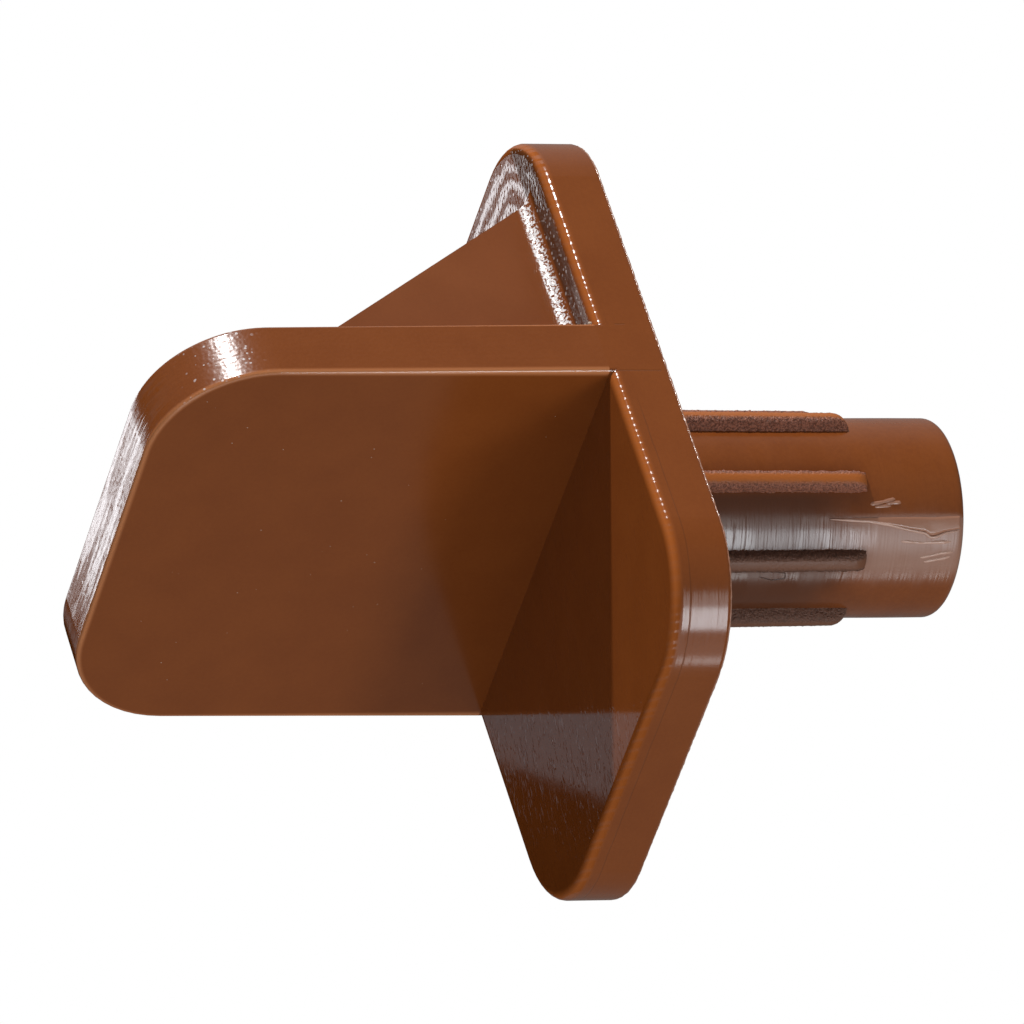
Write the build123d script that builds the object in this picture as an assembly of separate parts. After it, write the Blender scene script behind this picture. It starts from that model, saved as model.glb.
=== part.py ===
from build123d import *

import os
from math import radians, tan

# Shelf support for a cabinet side panel, moulded in one piece.
# A ribbed peg is pressed into a drilled hole, a plate lies flat on the panel, and a ledge
# with two gusset cheeks under it carries the shelf.
#
# Frame in millimetres: the origin is on the peg's axis, in the plane of the plate's back
# face, which lies on the panel. +X points out over the ledge, the peg runs along -X,
# +Y is across the plate and +Z is up.

# Drilled hole that the peg goes into
hole_diameter = 5.0

# Peg
peg_length = 8.6
peg_clearance = 0.11
peg_end_radius = 0.18
peg_draft = 0.2

# Crush ribs on the peg
rib_count = 8
rib_length = 6.1
rib_width = 0.5
rib_crest_width = 0.4
rib_crest_flat = 0.02
rib_bite_root = 0.27
rib_bite_end = 0.21
rib_ramp = 0.42

# Plate that lies on the panel
plate_width = 12.0
plate_height = 16.3
plate_thickness = 1.48
plate_offset = 0.05
plate_corner = 2.62
plate_front_edge = 0.25
plate_back_edge = 0.12

# Ledge that carries the shelf
ledge_reach = 10.78
ledge_top = 0.88
ledge_root_thickness = 1.53
ledge_tip_thickness = 1.48
ledge_side_draft = 0.62
ledge_corner = 2.7
ledge_edge = 0.09

# Gusset cheeks under the ledge
cheek_inset = 1.14
cheek_thickness = 1.2
cheek_foot_margin = 2.4
cheek_toe_margin = 3.54
cheek_root_radius = 0.35

# How far one piece of the moulding runs into the next before they are joined
overlap = 0.4

# How near an edge lies to a face to count as on it
touch = 0.02

# Sizes that follow from the ones above
core_radius = hole_diameter / 2 - peg_clearance
core_root_radius = core_radius + rib_length * tan(radians(peg_draft))
crest_root_radius = hole_diameter / 2 + rib_bite_root
crest_end_radius = hole_diameter / 2 + rib_bite_end
ledge_underside = ledge_top - ledge_root_thickness
ledge_tip_x = plate_thickness + ledge_reach
ledge_slope = (ledge_root_thickness - ledge_tip_thickness) / ledge_reach
cheek_foot = plate_offset - plate_height / 2 + cheek_foot_margin
cheek_toe_x = ledge_tip_x - cheek_toe_margin
cheek_outer = plate_width / 2 - cheek_inset


def ledge_under(x: float) -> float:
    """Height of the ledge's underside at a distance x from the panel."""
    return ledge_underside + (x - plate_thickness) * ledge_slope


def make_plate() -> Part:
    """Plate with rounded corners, softened more along its front than along its back."""
    outline = Pos(0, plate_offset) * RectangleRounded(plate_width, plate_height, plate_corner)
    plate = extrude(Plane.YZ * outline, plate_thickness)
    plate = fillet(plate.faces().sort_by(Axis.X)[-1].edges(), plate_front_edge)
    return fillet(plate.faces().sort_by(Axis.X)[0].edges(), plate_back_edge)


def make_ledge() -> Part:
    """Ledge with a level top: its sides leave the plate flush and draw in towards two round corners."""
    start = plate_thickness / 2
    root_half = plate_width / 2
    tip_half = root_half - ledge_reach * tan(radians(ledge_side_draft))
    profile = Polyline(
        (start, ledge_top),
        (ledge_tip_x, ledge_top),
        (ledge_tip_x, ledge_under(ledge_tip_x)),
        (start, ledge_under(start)),
        close=True,
    )
    plan = make_face(
        Polyline(
            (start, -root_half),
            (plate_thickness, -root_half),
            (ledge_tip_x, -tip_half),
            (ledge_tip_x, tip_half),
            (plate_thickness, root_half),
            (start, root_half),
            close=True,
        )
    )
    plan = fillet(plan.vertices().group_by(Axis.X)[-1], ledge_corner)
    slab = extrude(Plane.XZ * make_face(profile), plate_width, both=True)
    ledge = slab & extrude(plan, plate_height, both=True)
    rims = ledge.faces().sort_by(Axis.Z)
    outer = [e for e in rims[-1].edges() + rims[0].edges() if e.center().X > start + ledge_edge]
    return fillet(outer, ledge_edge)


def make_cheek() -> Part:
    """Triangular cheek on the +Y side, from the plate's front to the ledge's underside."""
    toe = Vector(cheek_toe_x, 0, ledge_under(cheek_toe_x))
    foot = Vector(plate_thickness, 0, cheek_foot)
    inside = toe + (toe - foot).normalized() * overlap
    profile = Polyline(
        (plate_thickness - overlap, cheek_foot),
        (foot.X, foot.Z),
        (inside.X, inside.Z),
        (plate_thickness - overlap, inside.Z),
        close=True,
    )
    side = Plane.XZ.offset(-cheek_outer) * make_face(profile)
    return extrude(side, cheek_thickness)


def cheek_roots(body: Part) -> list[Edge]:
    """Inside edges where the cheeks meet the plate and the ledge, and where those two meet between them."""
    roots = []
    for edge in body.edges().filter_by(GeomType.LINE):
        at = edge.center()
        on_plate = abs(at.X - plate_thickness) < touch and cheek_foot - touch < at.Z < ledge_underside + touch
        on_ledge = abs(at.Z - ledge_under(at.X)) < touch and at.X < cheek_toe_x + touch
        if abs(at.Y) < cheek_outer + touch and at.X > plate_thickness - touch and (on_plate or on_ledge):
            roots.append(edge)
    return roots


def make_core() -> Part:
    """Peg core: drafted behind the ribs, parallel at the nose, with a rounded end edge."""
    profile = Polyline(
        (overlap, 0),
        (overlap, core_root_radius),
        (0, core_root_radius),
        (-rib_length, core_radius),
        (-peg_length, core_radius),
        (-peg_length, 0),
        close=True,
    )
    core = revolve(Plane.XZ * make_face(profile), Axis.X)
    return fillet(core.faces().sort_by(Axis.X)[0].edges(), peg_end_radius)


def rib_section(x: float, crest: float, flank: float) -> Sketch:
    """Section of a rib square to the peg: steep flanks and a round crest at a radius from the axis."""
    foot = core_radius - overlap
    half_foot = rib_width / 2 + (core_radius - foot) * flank
    half_crest = rib_width / 2 - (crest - core_radius) * flank
    outline = Polyline(
        (-half_foot, foot),
        (half_foot, foot),
        (half_crest, crest),
        (-half_crest, crest),
        close=True,
    )
    face = make_face(outline)
    top = face.vertices().group_by(Axis.Y)[-1]
    return Plane.YZ.offset(x) * fillet(top, half_crest - rib_crest_flat / 2)


def make_rib() -> Part:
    """One crush rib on top of the peg: its crest falls towards the nose and ends in a ramp."""
    flank = (rib_width - rib_crest_width) / 2 / (crest_root_radius - core_radius)
    sections = [
        rib_section(overlap, crest_root_radius, flank),
        rib_section(rib_ramp - rib_length, crest_end_radius, flank),
        rib_section(-rib_length, core_radius, flank),
    ]
    return loft(sections, ruled=True)


def make_support() -> Part:
    """The whole moulding as one solid."""
    cheek = make_cheek()
    body = make_plate() + make_ledge() + cheek + mirror(cheek, Plane.XZ)
    body = fillet(cheek_roots(body), cheek_root_radius)
    pitch = 360 / rib_count
    ribs = [Rot(pitch * (n + 0.5), 0, 0) * make_rib() for n in range(rib_count)]
    return body + [make_core(), *ribs]


os.makedirs("parts", exist_ok=True)
support = make_support()
export_step(support, "parts/shelf_support.step")
print(f"volume {support.volume:.1f} mm3, solids {len(support.solids())}, faces {len(support.faces())}")
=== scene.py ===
"""Looks of a brown plastic shelf support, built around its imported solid.

The piece is one moulding. Its plate, ledge and cheeks come from a merged copy of the solid,
and its peg, crush ribs, parting lines and flash are built here in finer detail.
Sizes in the classes are in millimetres, as in the part's source, and meshes are in metres.
"""

import logging
import math
from dataclasses import dataclass
from enum import Enum

import bpy
import numpy as np
from mathutils import Matrix, Vector
from mathutils.geometry import tessellate_polygon

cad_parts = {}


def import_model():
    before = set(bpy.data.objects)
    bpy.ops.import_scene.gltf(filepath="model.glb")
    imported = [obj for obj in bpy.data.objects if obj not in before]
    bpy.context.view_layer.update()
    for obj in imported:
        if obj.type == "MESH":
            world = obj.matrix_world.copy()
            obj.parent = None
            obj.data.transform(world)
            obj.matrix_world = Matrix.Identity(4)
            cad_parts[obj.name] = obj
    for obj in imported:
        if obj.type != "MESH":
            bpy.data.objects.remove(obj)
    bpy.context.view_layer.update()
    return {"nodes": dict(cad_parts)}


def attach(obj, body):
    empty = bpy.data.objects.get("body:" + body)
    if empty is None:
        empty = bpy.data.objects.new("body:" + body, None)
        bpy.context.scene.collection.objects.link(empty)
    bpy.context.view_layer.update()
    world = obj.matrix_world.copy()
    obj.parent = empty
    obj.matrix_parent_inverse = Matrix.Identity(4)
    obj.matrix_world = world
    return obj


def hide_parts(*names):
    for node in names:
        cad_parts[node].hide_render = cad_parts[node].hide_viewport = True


Colour = tuple[float, float, float]
Point = tuple[float, float, float]
Range = tuple[float, float]
Track = tuple[tuple[float, float], ...]
Socket = bpy.types.NodeSocket
Node = bpy.types.Node
Tree = bpy.types.NodeTree
Object = bpy.types.Object
Material = bpy.types.Material

NODE = "shelf_support"
BODY = "root"
MM = 0.001

# Value that noise lies around
MIDDLE = 0.5
# Full strength of the gloss
FULL_GLOSS = 0.5

WHITE: Colour = (1.0, 1.0, 1.0)
BLACK: Colour = (0.0, 0.0, 0.0)

log = logging.getLogger("shelf_support")


class Family(Enum):
    """What a node group is made of."""

    SHADER = "ShaderNodeTree"
    GEOMETRY = "GeometryNodeTree"


class Zone(Enum):
    """Part of the moulding that has marks of its own."""

    PLATE = "plate"
    PLATE_RIM = "plate rim"
    PLATE_FACE = "plate face"
    FOOT = "plate below the ledge"
    BESIDE = "plate beside the cheeks"
    LEDGE = "ledge"
    LEDGE_RIM = "ledge rim"
    TIP_FACE = "ledge tip"
    FILLET = "root of the cheeks"
    CHEEK = "cheek"


# --------------------------------------------------------------------------- node writing


class NodeSheet:
    """Adds nodes to one node tree and wires them."""

    def __init__(self, tree: Tree) -> None:
        """Starts on a tree.

        Args:
            tree: The tree that the nodes go into.
        """
        self.tree = tree

    def put(self, kind: str, wires: dict[str | int, object] | None = None, **settings: object) -> Node:
        """Adds one node.

        Args:
            kind: Blender's type name of the node.
            wires: What goes into its inputs, by name or number: a socket or a plain value.
            settings: The node's own settings.

        Returns:
            The new node.
        """
        node = self.tree.nodes.new(kind)
        for name, value in settings.items():
            setattr(node, name, value)
        for key, value in (wires or {}).items():
            self.feed(node.inputs[key], value)
        return node

    def feed(self, entry: Socket, value: object) -> None:
        """Wires a socket into an input, or sets the input's plain value.

        Args:
            entry: The input.
            value: A socket, or a value of the input's type.
        """
        if isinstance(value, Socket):
            self.tree.links.new(value, entry)
        elif entry.type == "RGBA" and len(value) == 3:
            entry.default_value = (*value, 1.0)
        else:
            entry.default_value = value

    def maths(self, operation: str, *values: object, clamp: bool = False) -> Socket:
        """Adds a Math node.

        Args:
            operation: The node's operation.
            values: What goes into its inputs, in order.
            clamp: Whether the result is kept from 0 to 1.

        Returns:
            The result.
        """
        node = self.put("ShaderNodeMath", dict(enumerate(values)), operation=operation, use_clamp=clamp)
        return node.outputs[0]

    def product(self, *values: object) -> Socket:
        """Multiplies two or more values."""
        result = values[0]
        for value in values[1:]:
            result = self.maths("MULTIPLY", result, value)
        return result

    def total(self, *values: object) -> Socket:
        """Adds up two or more values."""
        result = values[0]
        for value in values[1:]:
            result = self.maths("ADD", result, value)
        return result

    def minus(self, value: object, less: object) -> Socket:
        """A value less another."""
        return self.maths("SUBTRACT", value, less)

    def ratio(self, value: object, by: object, clamp: bool = False) -> Socket:
        """A value divided by another."""
        return self.maths("DIVIDE", value, by, clamp=clamp)

    def opposite(self, value: Socket) -> Socket:
        """One minus the value."""
        return self.minus(1.0, value)

    def vector(self, operation: str, *values: object) -> Socket:
        """Adds a Vector Math node that gives a vector.

        Args:
            operation: The node's operation.
            values: What goes into its inputs, in order.

        Returns:
            The resulting vector.
        """
        return self.put("ShaderNodeVectorMath", dict(enumerate(values)), operation=operation).outputs[0]

    def scaled(self, value: Socket, scale: Socket) -> Socket:
        """A vector times a number."""
        result = self.vector("SCALE", value)
        self.feed(result.node.inputs["Scale"], scale)
        return result

    def split(self, value: Socket) -> tuple[Socket, Socket, Socket]:
        """Parts of a vector, as three sockets."""
        outputs = self.put("ShaderNodeSeparateXYZ", {0: value}).outputs
        return outputs[0], outputs[1], outputs[2]

    def merge(self, x: object, y: object = 0.0, z: object = 0.0) -> Socket:
        """A vector from its three parts."""
        return self.put("ShaderNodeCombineXYZ", {0: x, 1: y, 2: z}).outputs[0]

    def noise(
        self, place: Socket, scale: object, detail: object = 2.0, rough: float = 0.5, bend: float = 0.0
    ) -> Socket:
        """Adds a Noise Texture.

        Args:
            place: Where it is read.
            scale: Features per unit of place.
            detail: Number of finer layers.
            rough: Weight of the finer layers.
            bend: Distortion of the pattern.

        Returns:
            The noise, around 0.5.
        """
        wires = {"Vector": place, "Scale": scale, "Detail": detail, "Roughness": rough, "Distortion": bend}
        return self.put("ShaderNodeTexNoise", wires).outputs[0]

    def fade(self, value: Socket, low: float, high: float, start: float = 0.0, end: float = 1.0) -> Socket:
        """Maps a value smoothly from one range to another, and holds it outside that range.

        Args:
            value: What is mapped.
            low: Value that gives start.
            high: Value that gives end.
            start: Result at low.
            end: Result at high.

        Returns:
            The mapped value.
        """
        wires = {0: value, 1: low, 2: high, 3: start, 4: end}
        return self.put("ShaderNodeMapRange", wires, interpolation_type="SMOOTHSTEP").outputs[0]

    def fall(self, value: Socket, low: float, high: float) -> Socket:
        """Mask that is 1 below a range and 0 above it."""
        return self.fade(value, low, high, 1.0, 0.0)

    def between(self, value: Socket, low: float, high: float, soft: float) -> Socket:
        """Mask of a range with soft ends.

        Args:
            value: What is tested.
            low: Start of the range.
            high: End of the range.
            soft: Width over which the mask fades at either end.

        Returns:
            The mask, from 0 to 1.
        """
        rise = self.fade(value, low - soft, low + soft)
        return self.product(rise, self.fall(value, high - soft, high + soft))

    def blend(self, share: object, first: object, second: object) -> Socket:
        """Mixes two colours.

        Args:
            share: Share of the second colour.
            first: The colour at 0.
            second: The colour at 1.

        Returns:
            The mixed colour.
        """
        return self.put("ShaderNodeMix", {0: share, 6: first, 7: second}, data_type="RGBA").outputs[2]


@dataclass(frozen=True)
class GroupSocket:
    """One named input or output of a node group."""

    name: str
    kind: str = "NodeSocketFloat"
    value: object = None


PLACE = GroupSocket("Place", "NodeSocketVector")
GEOMETRY = GroupSocket("Geometry", "NodeSocketGeometry")
MATERIAL = GroupSocket("Material", "NodeSocketMaterial")


def sizes(**values: float | int) -> list[GroupSocket]:
    """Makes number inputs with the values that they start from.

    Args:
        values: The values, by names whose spaces are written as low lines.

    Returns:
        The inputs, in the same order. A whole number's input takes only whole numbers.
    """
    kinds = {int: "NodeSocketInt", float: "NodeSocketFloat"}
    return [GroupSocket(name.replace("_", " "), kinds[type(value)], value) for name, value in values.items()]


class GroupSheet(NodeSheet):
    """Node sheet of a new group, with its named inputs as source and its outputs as target."""

    def __init__(self, name: str, family: Family, inputs: list[GroupSocket], *outputs: GroupSocket) -> None:
        """Starts the group.

        Args:
            name: Name of the group.
            family: What it is made of.
            inputs: Its inputs, in order.
            outputs: Its outputs, in order.
        """
        super().__init__(bpy.data.node_groups.new(name, family.value))
        for direction, sockets in (("INPUT", inputs), ("OUTPUT", outputs)):
            for socket in sockets:
                made = self.tree.interface.new_socket(socket.name, in_out=direction, socket_type=socket.kind)
                if socket.value is not None:
                    made.default_value = socket.value
        self.source = self.put("NodeGroupInput").outputs
        self.target = self.put("NodeGroupOutput").inputs

    def give(self, name: str, value: Socket) -> None:
        """Wires a value into one of the group's outputs."""
        self.feed(self.target[name], value)


# --------------------------------------------------------------------------- surface effects


class Effects:
    """Node groups for what the finishes share. Places are in millimetres."""

    def __init__(self) -> None:
        """Builds every group once."""
        self.pebble = self._pebble()
        self.cutter_lines = self._cutter_lines()
        self.scratches = self._scratches()
        self.outline_depth = self._outline_depth()
        self.edge = self._edge()
        self.spots = self._spots()
        self.seam = self._seam()

    @staticmethod
    def _open(name: str, inputs: list[GroupSocket], *outputs: str) -> GroupSheet:
        """Starts a shader group that puts out numbers with those names."""
        return GroupSheet(name, Family.SHADER, inputs, *(GroupSocket(output) for output in outputs))

    def _spots(self) -> Tree:
        """Tiny round spots, in some of the places that they are spaced over.

        Returns:
            The group: Mask, 1 in the spots.
        """
        least, rim = 0.4, (0.6, 1.1)
        sheet = self._open("tiny_spots", [PLACE, *sizes(Spacing=1.0, Radius=0.02, Share=0.3)], "Mask")
        source = sheet.source
        wires = {"Vector": source["Place"], "Scale": sheet.ratio(1.0, source["Spacing"]), "Randomness": 1.0}
        cells = sheet.put("ShaderNodeTexVoronoi", wires)
        distance = sheet.product(cells.outputs["Distance"], source["Spacing"])
        pick, size, _ = sheet.split(cells.outputs["Color"])
        radius = sheet.product(source["Radius"], sheet.total(size, least))
        picked = sheet.maths("LESS_THAN", pick, source["Share"])
        sheet.give("Mask", sheet.product(sheet.fall(sheet.ratio(distance, radius), *rim), picked))
        return sheet.tree

    def _seam(self) -> Tree:
        """Thin line where a value passes a level, with a slight wander.

        Returns:
            The group: Mask, 1 on the line.
        """
        bends, reach = 1.6, 4.0
        inputs = [GroupSocket("Value"), PLACE, *sizes(Level=0.0, Width=0.03, Wander=0.02)]
        sheet = self._open("seam_line", inputs, "Mask")
        source = sheet.source
        wave = sheet.minus(sheet.noise(source["Place"], bends), MIDDLE)
        shift = sheet.product(wave, source["Wander"], reach)
        away = sheet.maths("ABSOLUTE", sheet.total(sheet.minus(source["Value"], source["Level"]), shift))
        sheet.give("Mask", sheet.fall(sheet.ratio(away, source["Width"]), 0.0, 1.0))
        return sheet.tree

    def _pebble(self) -> Tree:
        """Faint unevenness of a moulded face.

        Returns:
            The group: Height in millimetres, and Tone around 0.5 for colour.
        """
        layers, rough, broad_scale, fine_share = 3.0, 0.6, 0.07, 0.4
        sheet = self._open("fine_pebble", [PLACE, *sizes(Size=0.1, Height=0.001)], "Height", "Tone")
        place = sheet.scaled(sheet.source["Place"], sheet.ratio(1.0, sheet.source["Size"]))
        fine = sheet.noise(place, 1.0, layers, rough)
        broad = sheet.noise(place, broad_scale)
        sheet.give("Height", sheet.product(sheet.minus(fine, MIDDLE), sheet.source["Height"]))
        sheet.give("Tone", sheet.total(sheet.product(fine, fine_share), sheet.product(broad, 1 - fine_share)))
        return sheet.tree

    def _cutter_lines(self) -> Tree:
        """Fine lines that a cutter left in the mould, square to the first part of Place.

        Returns:
            The group: Height in millimetres, and Wear from 0 to 1 where lines are rough.
        """
        coarse_scale, worn = 0.23, (0.45, 0.57)
        inputs = [PLACE, *sizes(Pitch=0.06, Length=1.5, Height=0.001, Fineness=2.0)]
        sheet = self._open("cutter_lines", inputs, "Height", "Wear")
        names = ("Place", "Pitch", "Length", "Height", "Fineness")
        place, pitch, length, height, fineness = (sheet.source[name] for name in names)
        x, y, z = sheet.split(place)
        stretched = sheet.merge(*(sheet.ratio(p, s) for p, s in ((x, pitch), (y, length), (z, length))))
        lines = sheet.noise(stretched, 1.0, fineness)
        coarse = sheet.noise(stretched, coarse_scale, 1.0)
        summed = sheet.total(sheet.minus(lines, MIDDLE), sheet.minus(coarse, MIDDLE))
        sheet.give("Height", sheet.product(summed, height))
        sheet.give("Wear", sheet.fade(coarse, *worn))
        return sheet.tree

    def _scratches(self) -> Tree:
        """Short scratches and rubs that run along one direction in a plane.

        Returns:
            The group: Height in millimetres, and Mask from 0 to 1 on the scratches.
        """
        bend, scratched = 0.4, (0.56, 0.68)
        inputs = [PLACE, *sizes(Turn=0.0, Width=0.05, Length=0.5, Height=0.002)]
        sheet = self._open("scratches", inputs, "Height", "Mask")
        source = sheet.source
        wires = {"Vector": source["Place"], "Angle": source["Turn"]}
        x, y, z = sheet.split(sheet.put("ShaderNodeVectorRotate", wires, rotation_type="Z_AXIS").outputs[0])
        spot = sheet.merge(sheet.ratio(x, source["Length"]), sheet.ratio(y, source["Width"]), z)
        mask = sheet.fade(sheet.noise(spot, 1.0, 1.0, bend=bend), *scratched)
        sheet.give("Height", sheet.product(mask, source["Height"]))
        sheet.give("Mask", mask)
        return sheet.tree

    def _outline_depth(self) -> Tree:
        """How far a point lies inside a rounded rectangle.

        Returns:
            The group: Depth, above 0 inside and 0 on the outline.
        """
        inputs = [GroupSocket(n) for n in ("First", "Second", "Half First", "Half Second", "Radius")]
        sheet = self._open("outline_depth", inputs, "Depth")
        source = sheet.source
        past = []
        for part, half in (("First", "Half First"), ("Second", "Half Second")):
            size = sheet.maths("ABSOLUTE", source[part])
            past.append(sheet.total(sheet.minus(size, source[half]), source["Radius"]))
        corner = [sheet.maths("MAXIMUM", p, 0.0) for p in past]
        squares = sheet.total(*(sheet.product(c, c) for c in corner))
        inner = sheet.maths("MINIMUM", sheet.maths("MAXIMUM", *past), 0.0)
        outside = sheet.total(sheet.maths("SQRT", squares), inner)
        sheet.give("Depth", sheet.minus(source["Radius"], outside))
        return sheet.tree

    def _edge(self) -> Tree:
        """Mask along the edge of two faces, from the distances to both of them.

        Returns:
            The group: Mask, 1 on the edge and 0 from Width on.
        """
        inputs = [GroupSocket("First"), GroupSocket("Second"), *sizes(Width=0.1)]
        sheet = self._open("edge_mask", inputs, "Mask")
        nearest = sheet.maths("MAXIMUM", sheet.source["First"], sheet.source["Second"])
        sheet.give("Mask", sheet.fall(sheet.ratio(nearest, sheet.source["Width"]), 0.0, 1.0))
        return sheet.tree


class PlasticSheet(NodeSheet):
    """Node sheet of one plastic finish, with the places that its patterns read."""

    def __init__(self, material: Material, effects: Effects) -> None:
        """Clears the material and adds what every finish reads.

        Args:
            material: The material that the nodes go into.
            effects: The shared groups.
        """
        material.use_nodes = True
        super().__init__(material.node_tree)
        self.tree.nodes.clear()
        self.effects = effects
        coordinates = self.put("ShaderNodeTexCoord")
        self.place = self.vector("MULTIPLY", coordinates.outputs["Object"], (1 / MM, 1 / MM, 1 / MM))
        self.x, self.y, self.z = self.split(self.place)
        self.facing = self.split(coordinates.outputs["Normal"])

    def effect(self, group: Tree, **values: object) -> Node:
        """Places one of the shared groups.

        Args:
            group: The group.
            values: Its inputs, with spaces in their names written as low lines.

        Returns:
            The group node.
        """
        node = self.put("ShaderNodeGroup", node_tree=group)
        for name, value in values.items():
            self.feed(node.inputs[name.replace("_", " ")], value)
        return node


@dataclass(frozen=True)
class Spots:
    """How far apart tiny round spots lie, how large they are, and the share of places that have one."""

    spacing: float
    radius: float
    share: float

    def mask(self, sheet: PlasticSheet, place: Socket) -> Socket:
        """Draws the spots.

        Args:
            sheet: The sheet to draw on.
            place: Where they are read.

        Returns:
            The mask, 1 in the spots.
        """
        values = {"Spacing": self.spacing, "Radius": self.radius, "Share": self.share}
        return sheet.effect(sheet.effects.spots, Place=place, **values).outputs["Mask"]


@dataclass(frozen=True)
class CutterMarks:
    """Sizes of a cutter's lines, and how much of the gloss their rough places take."""

    pitch: float
    length: float
    height: float
    fineness: float = 1.0
    dulling: float = 0.0

    def draw(self, sheet: PlasticSheet, place: Socket, zone: Socket | float = 1.0) -> tuple[Socket, Socket]:
        """Draws the lines.

        Args:
            sheet: The sheet to draw on.
            place: Where they are read.
            zone: Mask of the part that has them.

        Returns:
            Their height in millimetres, and a mask of their rough places.
        """
        values = {"Pitch": self.pitch, "Length": self.length, "Fineness": self.fineness}
        height = sheet.product(zone, self.height) if isinstance(zone, Socket) else self.height
        lines = sheet.effect(sheet.effects.cutter_lines, Place=place, Height=height, **values)
        return lines.outputs["Height"], lines.outputs["Wear"]


# --------------------------------------------------------------------------- finishes


@dataclass(frozen=True)
class Look:
    """What a finish gives its shader: colour, roughness, height in millimetres and strength of the gloss."""

    colour: object
    rough: object
    height: object
    gloss: object = FULL_GLOSS


@dataclass(frozen=True)
class Plastic:
    """Glossy plastic, coloured right through."""

    name: str = "brown_plastic"
    base: Colour = (0.222, 0.058, 0.0105)
    deep: Colour = (0.192, 0.048, 0.0085)
    roughness: float = 0.2
    rough_swing: float = 0.1
    rough_tones: Range = (0.3, 0.7)
    ior: float = 1.47
    pebble_size: float = 0.09
    pebble_height: float = 0.0004

    def pebble(self, sheet: PlasticSheet) -> tuple[Socket, Socket]:
        """Faint unevenness: its height in millimetres, and its tone around 0.5."""
        values = {"Size": self.pebble_size, "Height": self.pebble_height}
        outputs = sheet.effect(sheet.effects.pebble, Place=sheet.place, **values).outputs
        return outputs["Height"], outputs["Tone"]

    def uneven(self, sheet: PlasticSheet, tone: Socket) -> Socket:
        """Roughness that varies a little with the tone."""
        swing = self.roughness * self.rough_swing
        return sheet.fade(tone, *self.rough_tones, self.roughness - swing, self.roughness + swing)

    def surface(self, sheet: PlasticSheet) -> Look:
        """Pattern of the finish.

        Args:
            sheet: The sheet to draw on.

        Returns:
            The look.
        """
        height, tone = self.pebble(sheet)
        return Look(sheet.blend(tone, self.deep, self.base), self.uneven(sheet, tone), height)

    def material(self, effects: Effects) -> Material:
        """Builds the material.

        Args:
            effects: The shared groups.

        Returns:
            The material, with all its nodes.
        """
        material = bpy.data.materials.new(self.name)
        sheet = PlasticSheet(material, effects)
        look = self.surface(sheet)
        bump = sheet.put("ShaderNodeBump", {"Strength": 1.0, "Distance": MM, "Height": look.height})
        wires = {"Base Color": look.colour, "Roughness": look.rough, "Specular IOR Level": look.gloss}
        wires |= {"IOR": self.ior, "Normal": bump.outputs[0]}
        shader = sheet.put("ShaderNodeBsdfPrincipled", wires)
        sheet.put("ShaderNodeOutputMaterial", {0: shader.outputs[0]})
        return material


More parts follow.
